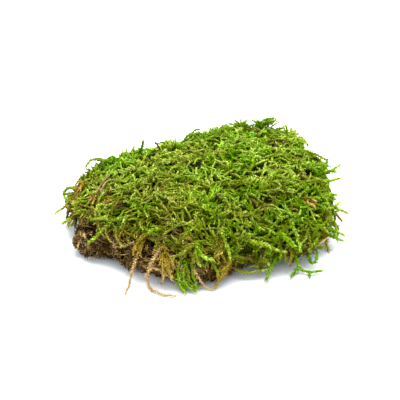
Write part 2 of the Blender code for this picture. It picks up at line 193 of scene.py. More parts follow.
# ---- the mat's colours, as places on its palette
GREEN = 0.625                # of living shoots,
GREEN_BY_Y = 0.001           # for each mm towards the back
GREEN_FADED = 0.15           # and less where the moss is fading
BROAD_PATCHES = 24           # size of the patches of like colour
BROAD_TINTS = 0.17           # and how far they differ
FINE_PATCHES = 9
FINE_TINTS = 0.14
SHOOT_TINTS = 0.055          # from shoot to shoot
BROWNS = (0.04, 0.17)        # of dead shoots,
BROWN_FADED = 0.12           # and more where the moss is fading
OLIVES = (0.38, 0.48)
OLIVE_FADED = 0.14
DEAD_SHARE = 0.02            # share of dead shoots,
DEAD_FRONT_Y = -30           # in front of here
DEAD_FRONT_BY_Z = (10, 26), (0.3, 0.05)
DEAD_FADED = 0.35            # and where the moss is fading
FADING_BY_X = (0, 20), (1, 0)
FADING_BY_Y = (-40, -15), (1, 0)
FADING_BY_Z = (17, 33), (1, 0.1)
END_FADING_BY_X = (-72, -58), (1, 0)
END_FADING = 0.6

# ---- the felt, the rootlets and the litter
OPEN_FELT = 4                # the felt is open where no mat is this near above it
SCRAP = (-62, -39)           # it is bare round the scrap of leaf, in plan
SCRAP_CLEAR = 4.0
DEAD_SHOOTS_APART = 2.4
DEAD_SHOOT_TINTS = (0.1, 0.45), (0.4, 0.7), (0.5, 0.82)
DEAD_LIGHT_BY_X = (-68, -50), (1.4, 1)
DEAD_LIGHT_BY_Z = (3, 13), (0.2, 1.8)
YELLOW_TINT = 0.88
YELLOW_SHARE = 0.15          # of the dead shoots, to the right of here
YELLOW_X = -38
FIBRES_APART = 2.0
FIBRE = (0.16, 0.34)         # radius of a bare fibre
FIBRE_TINTS = (0.45, 0.82)
FIBRE_LIGHT_BY_Z = (3, 14), (0.2, 1.2)
ROOT = 0.75                  # radius of a rootlet,
SIDE_ROOT = 0.6              # of one that branches off it
HAIR = (0.16, 0.07)          # and of its hairs, from base to tip
HAIR_LENGTH = (0.8, 2.6)
ROOT_TINTS = (0.64, 0.74)
TWIG = (0.55, 0.4)           # radius of a twig, from base to tip
TWIG_LIGHT = (0.3, 0.7)
STRAW = (0.5, 0.35)
STRAW_TINT = 0.72
STRAW_LIGHT = (0.05, 0.35)

# Each colour of the moss, from its shaded base to its lit tip, by its place on the palette.
MOSS_TINTS = [
    (0.00, (0.012, 0.009, 0.002), (0.130, 0.096, 0.045)),   # dark dead
    (0.14, (0.030, 0.022, 0.004), (0.340, 0.250, 0.095)),   # brown
    (0.26, (0.070, 0.048, 0.006), (0.860, 0.610, 0.170)),   # yellow straw
    (0.42, (0.032, 0.034, 0.001), (0.460, 0.440, 0.110)),   # olive
    (0.58, (0.024, 0.044, 0.000), (0.650, 0.800, 0.160)),   # lime
    (0.74, (0.013, 0.038, 0.000), (0.370, 0.650, 0.090)),   # fresh green
    (0.88, (0.008, 0.030, 0.000), (0.180, 0.480, 0.060)),   # deep green
    (1.00, (0.008, 0.030, 0.003), (0.170, 0.480, 0.120)),   # bluish green
]
# The same for the felt, the rootlets and the litter.
DEAD_TINTS = [
    (0.00, (0.008, 0.004, 0.002), (0.055, 0.030, 0.014)),   # humus
    (0.20, (0.022, 0.012, 0.004), (0.200, 0.112, 0.045)),   # dark brown
    (0.40, (0.048, 0.024, 0.006), (0.440, 0.255, 0.090)),   # brown
    (0.60, (0.090, 0.050, 0.012), (0.700, 0.450, 0.170)),   # tan
    (0.75, (0.130, 0.080, 0.022), (0.860, 0.620, 0.280)),   # pale straw
    (0.88, (0.100, 0.050, 0.006), (0.780, 0.470, 0.070)),   # yellow
    (1.00, (0.045, 0.040, 0.008), (0.360, 0.340, 0.060)),   # olive
]

# Patches of the mat where many shoots are dead: x, y, radius, and the share that is dead.
DEAD_PATCHES = [
    (-70, -8, 6, 0.7), (-54, -28, 9, 0.5), (-49, -35, 8, 0.4), (-60, -3, 5, 0.4),
    (-25, 18, 6, 0.25), (15, 4, 5, 0.25), (18, -20, 6, 0.3), (40, 24, 7, 0.3), (51, -5, 5, 0.35),
    (58, 2, 4, 0.3), (37, -37, 8, 0.35), (16, -42, 6, 0.3), (2, -39, 6, 0.25),
    (-38, -56, 10, 0.4), (11, 34, 5, 0.25), (62, -19, 5, 0.25), (-10, -64, 9, 0.45),
]

# Stray shoots, and rootlets further down: the stem's points, then the side shoots, each from the
# stem's point of that number.
SHOOTS = {
    "shoot_left_tip": ([(-66, -3, 18), (-74, -5, 16), (-79, -5, 12), (-85, -8, 9)],
                       [(2, (-79, -1, 15))]),
    "shoot_left_low": ([(-60, -20, 18), (-71, -19, 13), (-75, -18, 11), (-80, -18, 8)],
                       [(1, (-74, -22, 9)), (2, (-76, -14, 8))]),
    "shoot_left_loop": ([(-68, -5, 23), (-75, -4, 24), (-79, -4, 22), (-79.5, -6, 19),
                         (-76, -8, 17.5)], []),
    "shoot_left_arch": ([(-57, 19, 29), (-61, 16, 32), (-65, 14, 32.5), (-68, 12, 29)], []),
    "shoot_top_left_spike": ([(-37, 26, 30), (-35, 26, 35), (-34, 26, 39.5)], []),
    "shoot_top_nod": ([(-11, 40, 29), (-8, 42, 34.5), (-5, 43, 36)], []),
    "shoot_top_bent": ([(5, 39, 31), (2, 41, 36), (-2, 43, 36.5)], [(1, (3, 44, 37))]),
    "shoot_back_crest": ([(35, 64, 30), (41, 64, 35), (47, 63, 37)], [(1, (44, 68, 34))]),
    "shoot_right_1": ([(63, 30, 30), (69, 23, 32), (75, 18, 31)], []),
    "shoot_right_2": ([(68, 6, 28), (73, 6, 31), (75, 9, 35)], []),
    "shoot_right_3": ([(68, 6, 26), (77, 9, 28), (83, 14, 29)], [(1, (80, 6, 29))]),
    "shoot_right_4": ([(66, -5, 26), (75, -2, 27), (82, 0, 28)], []),
    "shoot_right_5": ([(68, -15, 24), (74, -14, 25), (79, -13, 24)], [(1, (78, -17, 23))]),
    "shoot_right_6": ([(68, -18, 20), (77, -17, 18), (85, -16, 14)], [(1, (81, -13, 19))]),
    "shoot_right_7": ([(66, -34, 15), (75, -32, 12), (82, -31, 8)], [(1, (78, -35, 7))]),
    "shoot_right_8": ([(64, -30, 11), (73, -31, 8), (81, -32, 5)], []),
    "shoot_front_right_curl": ([(58, -44, 12), (60, -50, 8), (61, -53, 4), (64, -53, 4),
                                (65, -50, 8)], []),
    "shoot_front_right": ([(50, -49, 13), (53, -56, 8), (55, -58, 3), (60, -60, 2), (67, -59, 2)],
                          [(2, (52, -60, 2), (50, -64, 1.5)), (3, (60, -64, 1.5))]),
    "shoot_front_hanging": ([(45, -50, 14), (42, -57, 10), (39, -61, 6), (36, -68, 2)],
                            [(2, (36, -57, 8))]),
    "shoot_front_arc": ([(13, -56, 11), (17, -61, 6.5), (23, -64, 4.5), (30, -64, 4.5),
                         (36, -62, 5)], []),
    "shoot_front_pale": ([(14, -60, 12), (12, -68, 7), (8, -75, 2)], []),
    "shoot_front_tip": ([(-10, -64, 15), (-9, -71, 9), (-5, -76, 3), (-2, -79, 2)],
                        [(1, (-11, -75, 4), (-8, -80, 2)), (2, (-1, -75, 2))]),
    "shoot_over_felt": ([(-47, -40, 24), (-53, -45, 21), (-58, -47, 16), (-62, -46, 12)], []),
    "shoot_back_left": ([(-50, 34, 22), (-56, 41, 19), (-60, 46, 13)], [(1, (-52, 46, 15))]),
    "shoot_back_1": ([(-28, 42, 24), (-31, 52, 20), (-34, 57, 13)], []),
    "shoot_back_2": ([(-2, 56, 24), (-6, 66, 18), (-7, 71, 10)], [(1, (-11, 67, 13))]),
    "shoot_back_3": ([(20, 68, 27), (18, 78, 20), (16, 83, 12)], [(1, (23, 82, 15))]),
    "shoot_back_right": ([(56, 58, 25), (65, 68, 20), (70, 73, 13)], [(1, (64, 73, 14))]),
    "shoot_right_back": ([(66, 38, 20), (76, 42, 15), (81, 46, 8)], []),
}
# Colours of the stray shoots that stand out from the rest.
STRAY_TINTS = {
    "shoot_left_low": 0.62, "shoot_left_tip": 0.60, "shoot_left_loop": 0.68,
    "shoot_left_arch": 0.60, "shoot_top_left_spike": 0.78, "shoot_top_nod": 0.70,
    "shoot_top_bent": 0.72, "shoot_back_crest": 0.74, "shoot_right_2": 0.76,
    "shoot_over_felt": 0.62, "shoot_right_1": 0.62,
    "shoot_front_pale": 0.32, "shoot_front_arc": 0.51, "shoot_front_right_curl": 0.82,
    "shoot_front_hanging": 0.74, "shoot_front_right": 0.74, "shoot_front_tip": 0.68,
}
# Single shoots that stand out by their colour or thickness: tint, girth and points.
ACCENTS = [
    (0.68, 0.9, [(-10, -70, 17), (-12, -73, 11), (-10, -74, 4), (-4, -77, 2)]),
    (0.62, 0.8, [(-7, -70, 15), (-9, -73, 9), (-7, -75, 2)]),
    (0.70, 0.8, [(-5, -71, 14), (-3, -73, 7), (-2, -75, 2)]),
    (0.66, 1.5, [(-3, -68, 27), (0, -71, 21), (4, -70, 17), (7, -71, 17)]),
    (0.27, 1.0, [(7, -71, 17), (9, -71, 20), (11, -70, 20)]),
    (0.64, 1.3, [(-2, -71, 24), (-2, -70, 17), (0, -72, 14)]),
    (0.50, 1.3, [(-1, -67, 26), (-7, -72, 24), (-12, -67, 17), (-17, -67, 16)]),
    (0.28, 0.9, [(-22, -64, 15), (-19, -64, 16), (-16, -69, 16), (-14, -69, 16)]),
    (0.28, 0.9, [(-21, -70, 14), (-18, -69, 16), (-15, -71, 14), (-14, -73, 13)]),
    (0.26, 0.9, [(-20, -72, 12), (-17, -71, 15), (-14, -69, 15)]),
    (0.30, 0.8, [(-16, -72, 13), (-15, -71, 8), (-13, -69, 2)]),
    (0.20, 0.8, [(-19, -71, 14), (-18, -71, 8), (-16, -66, 2)]),
    (0.34, 1.0, [(15, -67, 15), (14, -67, 8), (11, -68, 4), (9, -73, 2)]),
    (0.58, 1.2, [(11, -61, 30), (14, -67, 24), (16, -67, 15), (14, -67, 8)]),
    (0.28, 0.8, [(-36, -56, 17), (-33, -59, 16), (-34, -63, 15)]),
    (0.26, 0.9, [(-20, -65, 21), (-17, -62, 17), (-18, -65, 16)]),
    (0.70, 1.6, [(43, -58, 26), (50, -55, 17), (56, -50, 8)]),
    (0.66, 1.4, [(49, -50, 28), (53, -52, 20), (55, -55, 13)]),
    (0.57, 1.3, [(27, -63, 23), (35, -60, 20), (41, -59, 16), (47, -57, 13)]),
    (0.60, 1.1, [(35, -60, 11), (38, -60, 6), (39, -61, 4)]),
    (0.46, 0.9, [(35, -61, 13), (34, -59, 7), (30, -60, 5)]),
    (0.44, 0.9, [(33, -61, 12), (32, -59, 7), (27, -60, 5)]),
    (0.55, 1.1, [(67, -39, 14), (64, -47, 13), (60, -50, 10)]),
    (0.60, 1.1, [(64, -47, 15), (61, -50, 11), (60, -45, 3)]),
    (0.44, 0.9, [(-56, -38, 24), (-56, -43, 20), (-53, -46, 16)]),
    (0.36, 0.9, [(-51, -42, 22), (-52, -47, 19), (-49, -50, 15)]),
    (0.44, 0.9, [(-46, -46, 22), (-46, -51, 19), (-43, -54, 15)]),
    (0.62, 1.3, [(-63, -28, 16), (-57, -40, 24), (-52, -43, 27)]),
    (0.43, 1.0, [(-40, -50, 18), (-39, -54, 16), (-43, -55, 15)]),
    (0.50, 1.0, [(-31, -53, 20), (-33, -55, 16), (-36, -59, 16)]),
    (0.66, 1.2, [(-21, -59, 29), (-26, -56, 26), (-32, -49, 16)]),
]
# Tufts of shoots from one place: tint, root and tips.
TUFTS = [
    (0.64, (-8, -69, 15), [(-13, -74, 3), (-10, -76, 2), (-8, -77, 2), (-5, -77, 2),
                           (-3, -76, 2), (-5, -74, 5), (-11, -72, 7), (-12, -74, 6),
                           (-9, -75, 5), (-6, -75, 3), (-2, -75, 5), (-14, -73, 7)]),
    (0.42, (9, -65, 26), [(6, -68, 22), (8, -70, 20), (11, -70, 21), (12, -68, 24),
                          (10, -71, 18)]),
    (0.27, (-19, -66, 18), [(-22, -72, 14), (-20, -74, 12), (-18, -74, 9), (-16, -75, 12),
                            (-14, -74, 15), (-15, -75, 9), (-23, -71, 17), (-13, -72, 12)]),
    (0.30, (-71, -12, 24), [(-73, -17, 20), (-74, -14, 19), (-71, -20, 21), (-71, -16, 24)]),
    (0.27, (-33, -57, 19), [(-36, -62, 15), (-34, -64, 13), (-32, -64, 15), (-35, -62, 18)]),
    (0.30, (14, -66, 14), [(11, -70, 8), (12, -71, 5), (9, -73, 3), (10, -73, 5), (14, -70, 6)]),
    (0.67, (38, 63, 31), [(44, 63, 36), (47, 63, 35), (41, 66, 35), (36, 62, 36), (33, 64, 35),
                          (50, 60, 35), (40, 60, 36), (48, 64, 36)]),
    (0.63, (26, 60, 31), [(30, 63, 36), (26, 64, 36), (22, 62, 36), (18, 60, 35), (28, 58, 37)]),
    (0.63, (10, 52, 30), [(14, 55, 36), (10, 56, 35), (6, 53, 34), (3, 50, 33), (16, 56, 36)]),
    (0.62, (55, 48, 29), [(57, 57, 33), (60, 56, 32), (62, 52, 32), (64, 47, 31), (65, 42, 30),
                          (61, 48, 33), (54, 59, 34), (59, 53, 33), (57, 52, 34), (52, 57, 34)]),
    (0.62, (-43, 24, 27), [(-49, 25, 31), (-47, 26, 33), (-44, 30, 33), (-40, 32, 33),
                           (-36, 30, 32), (-45, 26, 31)]),
    (0.60, (-20, 34, 29), [(-25, 35, 33), (-21, 38, 34), (-18, 39, 34), (-15, 41, 34)]),
    (0.62, (-62, 12, 25), [(-68, 12, 28), (-65, 13, 29), (-62, 15, 30), (-58, 18, 31)]),
    (0.22, (-68, -6, 28), [(-72, -9, 26), (-71, -12, 24), (-73, -10, 22), (-69, -12, 27),
                           (-74, -7, 24), (-73, -13, 20)]),
    (0.20, (-59, -20, 27), [(-63, -23, 26), (-61, -27, 26), (-57, -28, 27), (-64, -20, 26)]),
    (0.24, (-53, -27, 28), [(-57, -33, 27), (-53, -34, 28), (-49, -31, 30)]),
    (0.22, (60, -27, 29), [(65, -31, 30), (64, -35, 29), (60, -33, 31)]),
]
ROOTS = {
    "root_left": ([(-33, -58, 15), (-35, -65, 12), (-37, -68, 6), (-38, -71, 2), (-40, -80, 1)],
                  []),
    "root_long": ([(-20, -60, 20), (-24, -70, 18), (-27, -72, 13), (-28.5, -72, 7), (-28, -72, 2),
                   (-26, -76, 1), (-21, -80, 1), (-13, -82, 1)], [(2, (-22, -73, 12))]),
    "root_short": ([(-18, -64, 13), (-20, -72, 12), (-19.5, -71, 5), (-22, -70, 1)], []),
    "root_curl": ([(-13, -64, 15), (-16, -72, 14), (-16, -74, 10), (-15, -72, 5), (-13, -70, 1.5)],
                  []),
    "stem_dead": ([(-4, -64, 12), (-3, -73, 12), (0, -74, 6), (3, -74, 2), (7, -76, 1)], []),
}
# Twigs: tint and points.
TWIGS = {
    "twig_right": (0.66, [(55, -46, 5), (65, -44, 9), (72, -40, 12)]),
    "twig_dark": (0.12, [(-24, 31, 31), (-27, 27, 38)]),
}
# Straws on the mat: in plan, with the height of each point above the mat.
STRAWS = {
    "straw_1": [(-60, -17, -1), (-56, -11, 1), (-52, -4, 0)],
    "straw_2": [(-57, -17, 0), (-54, -11, 1), (-49, -6, -1)],
}


# ---- lines and directions
def unit(vectors):
    """The vectors, each brought to length 1."""
    return vectors / np.linalg.norm(vectors, axis=-1, keepdims=True)


def scattered(spread, rng):
    """A vector in a random direction, with that spread along each axis."""
    return np.array([rng.gauss(0, spread) for _ in range(3)])


def draws(span, count, rng):
    """Random values between the span's ends."""
    return np.array([rng.uniform(*span) for _ in range(count)])


def drawn_from(spans, rng):
    """A random value from one of the spans."""
    return rng.choice([rng.uniform(*span) for span in spans])


def curve_through(points, count):
    """count points, evenly spaced, on a smooth curve through the given ones."""
    points = np.asarray(points, float)
    padded = np.vstack([2 * points[0] - points[1], points, 2 * points[-1] - points[-2]])
    dense = []
    for before, low, high, beyond in zip(padded, padded[1:], padded[2:], padded[3:]):
        share = np.linspace(0, 1, 9)[:, None]
        bend = (high - before) * share + (2 * before - 5 * low + 4 * high - beyond) * share ** 2
        bend = bend + (3 * low - 3 * high + beyond - before) * share ** 3
        dense.append(low + bend / 2)
    dense = np.concatenate(dense)
    return at_shares(dense, np.linspace(0, 1, count))


def length_of(path):
    return np.linalg.norm(np.diff(path, axis=0), axis=1).sum()


def at_shares(path, shares):
    """The places at shares of a path's length."""
    steps = np.linalg.norm(np.diff(path, axis=0), axis=1)
    so_far = np.concatenate([[0], np.cumsum(steps)])
    wanted = shares * so_far[-1]
    return np.column_stack([np.interp(wanted, so_far, column) for column in path.T])


def ribs(path):
    """Directions along a path, and two across it that don't twist."""
    along = unit(np.gradient(path, axis=0))
    plane = np.cross(along[:-1], along[1:]).sum(axis=0)
    if np.linalg.norm(plane) < 0.05:
        plane = np.cross(path[-1] - path[0], (0.31, 0.52, 0.79))
    side = unit(np.cross(along, plane))
    return along, side, np.cross(along, side)


# ---- gathering small bodies
class Heap:
    """Many small closed bodies that become one mesh. Marks are places on its palette."""

    def __init__(self):
        self.points, self.faces, self.marks = [], [], []
        self.count = 0

    def add(self, points, faces, marks):
        self.points.append(points)
        self.faces.append(faces + self.count)
        self.marks.append(marks)
        self.count += len(points)

    def piece(self, name, material, slot, nodes):
        points = np.concatenate(self.points)
        points[:, 2] = np.maximum(points[:, 2], LOWEST)
        faces = np.concatenate(self.faces)
        marks = np.concatenate(self.marks)
        mesh = bpy.data.meshes.new(name)
        mesh.from_pydata(points * MM, [], faces)
        layer = mesh.uv_layers.new(name="OFBake")
        layer.uv.foreach_set("vector", marks[faces.ravel()].astype(np.float32).ravel())
        mesh.materials.append(material)
        obj = bpy.data.objects.new(name, mesh)
        return settle(obj, nodes)


def settle(obj, nodes):
    """Puts a finished piece in the scene, in place of the solids that it stands for."""
    bpy.context.scene.collection.objects.link(obj)
    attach(obj, "root")
    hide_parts(*nodes)
    return obj


@functools.lru_cache(maxsize=None)
def rod_faces(count, sides):
    """Triangles of a closed rod of count rings."""
    faces = []
    for ring in range(count - 1):
        for corner in range(sides):
            here = ring * sides + corner
            beside = ring * sides + (corner + 1) % sides
            faces.append((here, beside, beside + sides))
            faces.append((here, beside + sides, here + sides))
    last = (count - 1) * sides
    for corner in range(1, sides - 1):
        faces.append((0, corner + 1, corner))
        faces.append((last, last + corner, last + corner + 1))
    return np.array(faces)


@functools.lru_cache(maxsize=None)
def leaf_faces(count):
    """Triangles of count leaves, each a flat tetrahedron: base, left, tip, right."""
    one = np.array([(0, 3, 2), (0, 2, 1), (0, 1, 3), (2, 3, 1)])
    return (one + 4 * np.arange(count)[:, None, None]).reshape(-1, 3)


def rod(heap, path, radii, sides, marks):
    """A thin rod along a path; radii and marks belong to its points."""
    along, side, other = ribs(path)
    turns = TURN * np.arange(sides) / sides
    ring = np.cos(turns)[:, None] * side[:, None] + np.sin(turns)[:, None] * other[:, None]
    points = path[:, None] + ring * np.asarray(radii)[:, None, None]
    heap.add(points.reshape(-1, 3), rod_faces(len(path), sides), np.repeat(marks, sides, axis=0))


def leafy(heap, path, tint, glow, rng, girth=1.0, per_mm=LEAVES_PER_MM, spread=LEAF_SPREAD):
    """A shoot closely set with keeled, pointed leaves. glow is how lit its base and tip are."""
    reach = length_of(path)
    stem = curve_through(path, max(4, round(reach / STEM_STEP) + 1))
    shares = np.linspace(0, 1, len(stem))
    marks = np.column_stack([np.full(len(stem), tint), np.interp(shares, (0, 1), glow)])
    marks[:, 1] *= STEM_LIGHT
    rod(heap, stem, STEM * girth * (1 - (1 - TIP_GIRTH) * shares ** 2), STEM_SIDES, marks)

    count = max(4, round(reach * per_mm))
    shares = (np.arange(count) + 0.5) / count
    centre = at_shares(stem, shares)
    along, side, other = (np.column_stack([np.interp(shares, np.linspace(0, 1, len(stem)), column)
                                           for column in rib.T]) for rib in ribs(stem))
    turns = (rng.random() * TURN + GOLDEN_TURN * np.arange(count))[:, None]
    out = np.cos(turns) * side + np.sin(turns) * other
    across = np.cross(along, out)
    taper = 1 - (1 - TIP_GIRTH) * shares
    size = (girth * taper * draws(LEAF_SIZES, count, rng))[:, None]
    angle = (np.interp(shares, (0, 1), spread) * draws(LEAF_ANGLES, count, rng))[:, None]
    way = np.cos(angle) * along + np.sin(angle) * out
    keel = np.cos(angle) * out - np.sin(angle) * along
    base = centre + out * (LEAF_START * STEM * girth * taper[:, None])
    tip = base + way * LEAF_LENGTH * size
    middle = base + way * LEAF_WIDEST * size - keel * LEAF_KEEL * size
    half = across * (LEAF_WIDTH / 2) * size
    points = np.stack([base, middle - half, tip, middle + half], axis=1)
    # painted glints and shade, from leaf to leaf
    sparkle = SPARKLE if tint > DEAD_TINT else DEAD_SPARKLE
    lit = np.interp(shares, (0, 1), glow) * draws(sparkle, count, rng)
    # painted shade on leaves that point down, painted light on those that point up
    lit *= 1 + UNDERSIDE_SHADE * out[:, 2]
    shift = np.array([rng.gauss(0, LEAF_TINTS) for _ in range(count)])
    marks = np.empty((count, 4, 2))
    marks[:, :, 0] = (tint + shift)[:, None]
    marks[:, :, 1] = lit[:, None] * LEAF_LIGHT
    marks = np.clip(marks, *PALETTE_ENDS)
    heap.add(points.reshape(-1, 3), leaf_faces(count), marks.reshape(-1, 2))


# ---- growing on the solids
def tree_of(name):
    """A CAD node's surface in mm, for finding the nearest place on it."""
    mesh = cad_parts[name].data
    return BVHTree.FromPolygons([corner.co / MM for corner in mesh.vertices],
                                [face.vertices for face in mesh.polygons])


def places_on(name, apart, rng, wanted):
    """Places spread evenly over the wanted part of a node's surface, with its normals there."""
    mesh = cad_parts[name].data
    mesh.calc_loop_triangles()
    corners = np.array([corner.co for corner in mesh.vertices]) / MM
    triangles = corners[np.array([face.vertices for face in mesh.loop_triangles])]
    cross = np.cross(triangles[:, 1] - triangles[:, 0], triangles[:, 2] - triangles[:, 0])
    sizes = np.linalg.norm(cross, axis=1)
    shares = np.cumsum(sizes) / sizes.sum()
    tries = round(TRIES * sizes.sum() / 2 / apart ** 2)
    kept = np.full((tries, 3), np.inf)
    normals = []
    for _ in range(tries):
        face = min(int(np.searchsorted(shares, rng.random())), len(triangles) - 1)
        low, high = sorted((rng.random(), rng.random()))
        place = np.array((low, high - low, 1 - high)) @ triangles[face]
        normal = cross[face] / sizes[face]
        near = kept[:len(normals)]
        if len(near) and np.min(((near - place) ** 2).sum(axis=1)) < apart ** 2:
            continue
        if wanted(place, normal):
            kept[len(normals)] = place
            normals.append(normal)
    return list(zip(kept, normals))


class Cover:
    """Which places have a shoot nearby, from points of all the shoots so far."""

    def __init__(self, points):
        points = np.concatenate(points)
        cells = np.floor(points / GAP).astype(int)
        self.full = set(map(tuple, np.unique(cells[::3], axis=0)))
        self.corner = cells[:, :2].min(axis=0) - 1
        self.tops = np.zeros(cells[:, :2].max(axis=0) - self.corner + 2)
        x, y = (cells[:, :2] - self.corner).T
        np.maximum.at(self.tops, (x, y), points[:, 2])

    def open_at(self, place, normal):
        """Whether a hole is there, seen from above or, on the sides, from outside."""
        if normal[2] > GAP_NORMAL:
            x, y = np.floor(place[:2] / GAP).astype(int) - self.corner
            nearby = (self.tops[x, y], self.tops[x - 1, y], self.tops[x + 1, y],
                      self.tops[x, y - 1], self.tops[x, y + 1])
            return sorted(nearby)[2] < place[2] - GAP_DEPTH
        x, y, z = np.floor((place - 0.8 * normal) / GAP).astype(int)
        return not any((x + i, y + j, z + k) in self.full
                       for i in (-1, 0, 1) for j in (-1, 0, 1) for k in (-1, 0, 1)
                       if abs(i) + abs(j) + abs(k) < 2)


def creep(tree, start, heading, length, depths, bend):
    """A stem that follows a surface: its points, and the surface's normal at each."""
    steps = max(4, round(length / CREEP))
    place = Vector(start)
    heading = Vector(heading)
    normal = tree.find_nearest(place)[1]
    path, ups = [], []
    for number in range(steps + 1):
        near, face_normal = tree.find_nearest(place)[:2]
        normal = (normal + 0.7 * face_normal).normalized()
        heading = (heading - normal * heading.dot(normal)).normalized()
        rise = 1 - (1 - number / steps) ** 2
        path.append(near - normal * (depths[0] + (depths[1] - depths[0]) * rise))
        ups.append(normal.copy())
        heading.rotate(Quaternion(normal, bend * CREEP))
        place = near + heading * CREEP
    path = np.array(path)
    for _ in range(2):
        path[1:-1] = (path[:-2] + 2 * path[1:-1] + path[2:]) / 4
    return path, np.array(ups)


def arc(start, way, end, rng):
    """Points of a line that leaves start in a direction and wanders to end."""
    start, end = np.asarray(start, float), np.asarray(end, float)
    length = np.linalg.norm(end - start)
    middle = start + np.asarray(way) * (0.55 * length)
    share = np.linspace(0, 1, 4)[:, None]
    path = (1 - share) ** 2 * start + 2 * share * (1 - share) * middle + share ** 2 * end
    path[1:3] += np.array([scattered(WANDER * length, rng) for _ in range(2)])
    return path


def held_in(tree, point, proud):
    """The point, or the place above the surface that it's pulled back to if it stands out."""
    near, normal = tree.find_nearest(Vector(point))[:2]
    out = (Vector(point) - near).dot(normal)
    if out > proud:
        return np.array(Vector(point) - normal * (out - proud))
    return np.asarray(point)


def proud_at(normal, rng):
    """How far a shoot's tip stands out of the mat's solid there."""
    return rng.uniform(*(TOP_PROUD if normal[2] > TOP_NORMAL else SIDE_PROUD))


def tint_at(place, rng):
    """A shoot's colour there, in broad patches of lime, fresh and deep green, or dead."""
    dying = fading(place)
    if rng.random() < dead_share(place):
        brown = rng.uniform(*BROWNS) + BROWN_FADED * dying
        return rng.choice((brown, rng.uniform(OLIVES[0] - OLIVE_FADED * dying, OLIVES[1])))
    spot = Vector(place)
    broad = BROAD_TINTS * noise.noise(spot / BROAD_PATCHES)
    fine = FINE_TINTS * noise.noise(spot / FINE_PATCHES + Vector((50, 0, 0)))
    green = GREEN + GREEN_BY_Y * place[1] - GREEN_FADED * dying
    return green + broad + fine + rng.gauss(0, SHOOT_TINTS)


def fading(place):
    """How far the moss has lost its green: just above the open felt, and at the left end."""
    near_felt = np.interp(place[0], *FADING_BY_X) * np.interp(place[1], *FADING_BY_Y)
    left_end = END_FADING * np.interp(place[0], *END_FADING_BY_X)
    return max(left_end, near_felt) * np.interp(place[2], *FADING_BY_Z)


def dead_share(place):
    """The share of the shoots there that are dead."""
    share = DEAD_SHARE
    if place[1] < DEAD_FRONT_Y:
        share = np.interp(place[2], *DEAD_FRONT_BY_Z)
    share = max(share, DEAD_FADED * fading(place))
    for x, y, radius, dead in DEAD_PATCHES:
        away = math.hypot(place[0] - x, place[1] - y) / radius
        share = max(share, dead * (1 - away ** 2))
    return share


def outward_at(place, rise=0.0):
    """The way from the mat's middle to a place in plan, with a rise over that distance."""
    return unit(np.array([place[0], place[1] - MIDDLE_Y, rise]))


def sideways(outward, spread, rng):
    """A random step to either side of the way outwards."""
    return np.array([-outward[1], outward[0], 0]) * rng.gauss(0, spread)


def heading_at(place, normal, rng):
    """The way shoots lie there: in swirls on the top, outwards and down on the sides."""
    swirl = TURN * (noise.noise(Vector(place) / SWIRLS + Vector((0, 70, 0))) + 0.05)
    swirl += rng.gauss(0, SWIRL_SPREAD)
    flat = np.array([math.cos(swirl), math.sin(swirl), 0])
    steep = np.clip(1.1 - normal[2], 0, 1)
    way = flat * (1 - 0.2 * steep) + outward_at(place, SAG_RISE) * (SAG * steep)
    way = way - normal * (way @ normal)
    return unit(way)


def daylight(place):
    """How lit the shoots are there: most at the back, and less at both ends."""
    return np.interp(place[1], *LIGHT_BY_Y) * np.interp(place[0], *LIGHT_BY_X)


def light_at(place, rng):
    """How lit a shoot's tip is there: less so low down and at the front."""
    return rng.uniform(*TIP_LIGHT) * np.interp(place[2], *LIGHT_BY_Z) * daylight(place)


def girth_at(place, rng):
    """How thick a shoot is there: more so low down, where the shoots hang free."""
    return rng.uniform(*GIRTHS) * np.interp(place[2], *GIRTH_BY_Z)


def frond(heap, tree, place, normal, rng):
    """A creeping stem with side branches like a feather's barbs."""
    length = rng.uniform(*FROND_LENGTH)
    heading = heading_at(place, normal, rng)
    path, ups = creep(tree, place, heading, length, CREEP_DEPTH, rng.gauss(0, CREEP_BEND))
    tint = tint_at(place, rng)
    light = light_at(place, rng)
    base_light = light * np.interp(place[1], *FROND_BASE_BY_Y)
    path = curve_through(path, max(6, round(length / STEM_STEP)))
    girth = girth_at(place, rng)
    leafy(heap, path, tint, (base_light, light), rng, FROND_GIRTH * girth)
    full = rng.uniform(*BRANCHINESS)
    reach = rng.uniform(*BRANCH_LENGTH)
    stem_ways = unit(np.gradient(path, axis=0))
    count = round(length / BRANCHES_APART * 2)
    side = 1
    for number in range(1, count):
        share = number / count
        side = -side
        if not BRANCHED[0] <= share <= BRANCHED[1] or rng.random() > full:
            continue
        start = at_shares(path, np.array([share]))[0]
        along = stem_ways[round(share * (len(path) - 1))]
        up = ups[round(share * (len(ups) - 1))]
        angle = rng.uniform(*BRANCH_ANGLE)
        aside = np.cross(up, along) * side
        way = unit(math.cos(angle) * along + math.sin(angle) * aside + rng.gauss(0.1, 0.15) * up)
        size = reach * math.sin(math.pi * min(1, share * 0.8 + 0.16)) * rng.uniform(*BRANCH_SIZES)
        if size < BRANCH_SHORTEST:
            continue
        lean = rng.gauss(*BRANCH_LEAN) * along
        lift = rng.gauss(*BRANCH_LIFT) * up
        end = held_in(tree, start + size * unit(way + lean + lift), proud_at(normal, rng))
        glow = (base_light + BRANCH_LIGHT[0] * share * light, light * BRANCH_LIGHT[1])
        leafy(heap, arc(start, way, end, rng), tint + rng.gauss(0, BRANCH_TINTS), glow, rng,
              girth * rng.uniform(*BRANCH_GIRTHS))


def riser(heap, tree, place, normal, rng):
    """A single shoot that comes up out of the mat and bends over at its tip."""
    length = rng.uniform(*RISER_LENGTH)
    heading = heading_at(place, normal, rng)
    rise = rng.uniform(*RISER_RISE)
    start = place - normal * rng.uniform(*RISER_DEPTH)
    way = unit(normal * rise + heading * 0.5)
    end = start + length * unit(normal * rise * 0.7 + heading)
    path = arc(start, way, held_in(tree, end, proud_at(normal, rng)), rng)
    tint = tint_at(place, rng)
    leafy(heap, path, tint, (BASE_LIGHT, light_at(place, rng)), rng, girth_at(place, rng))


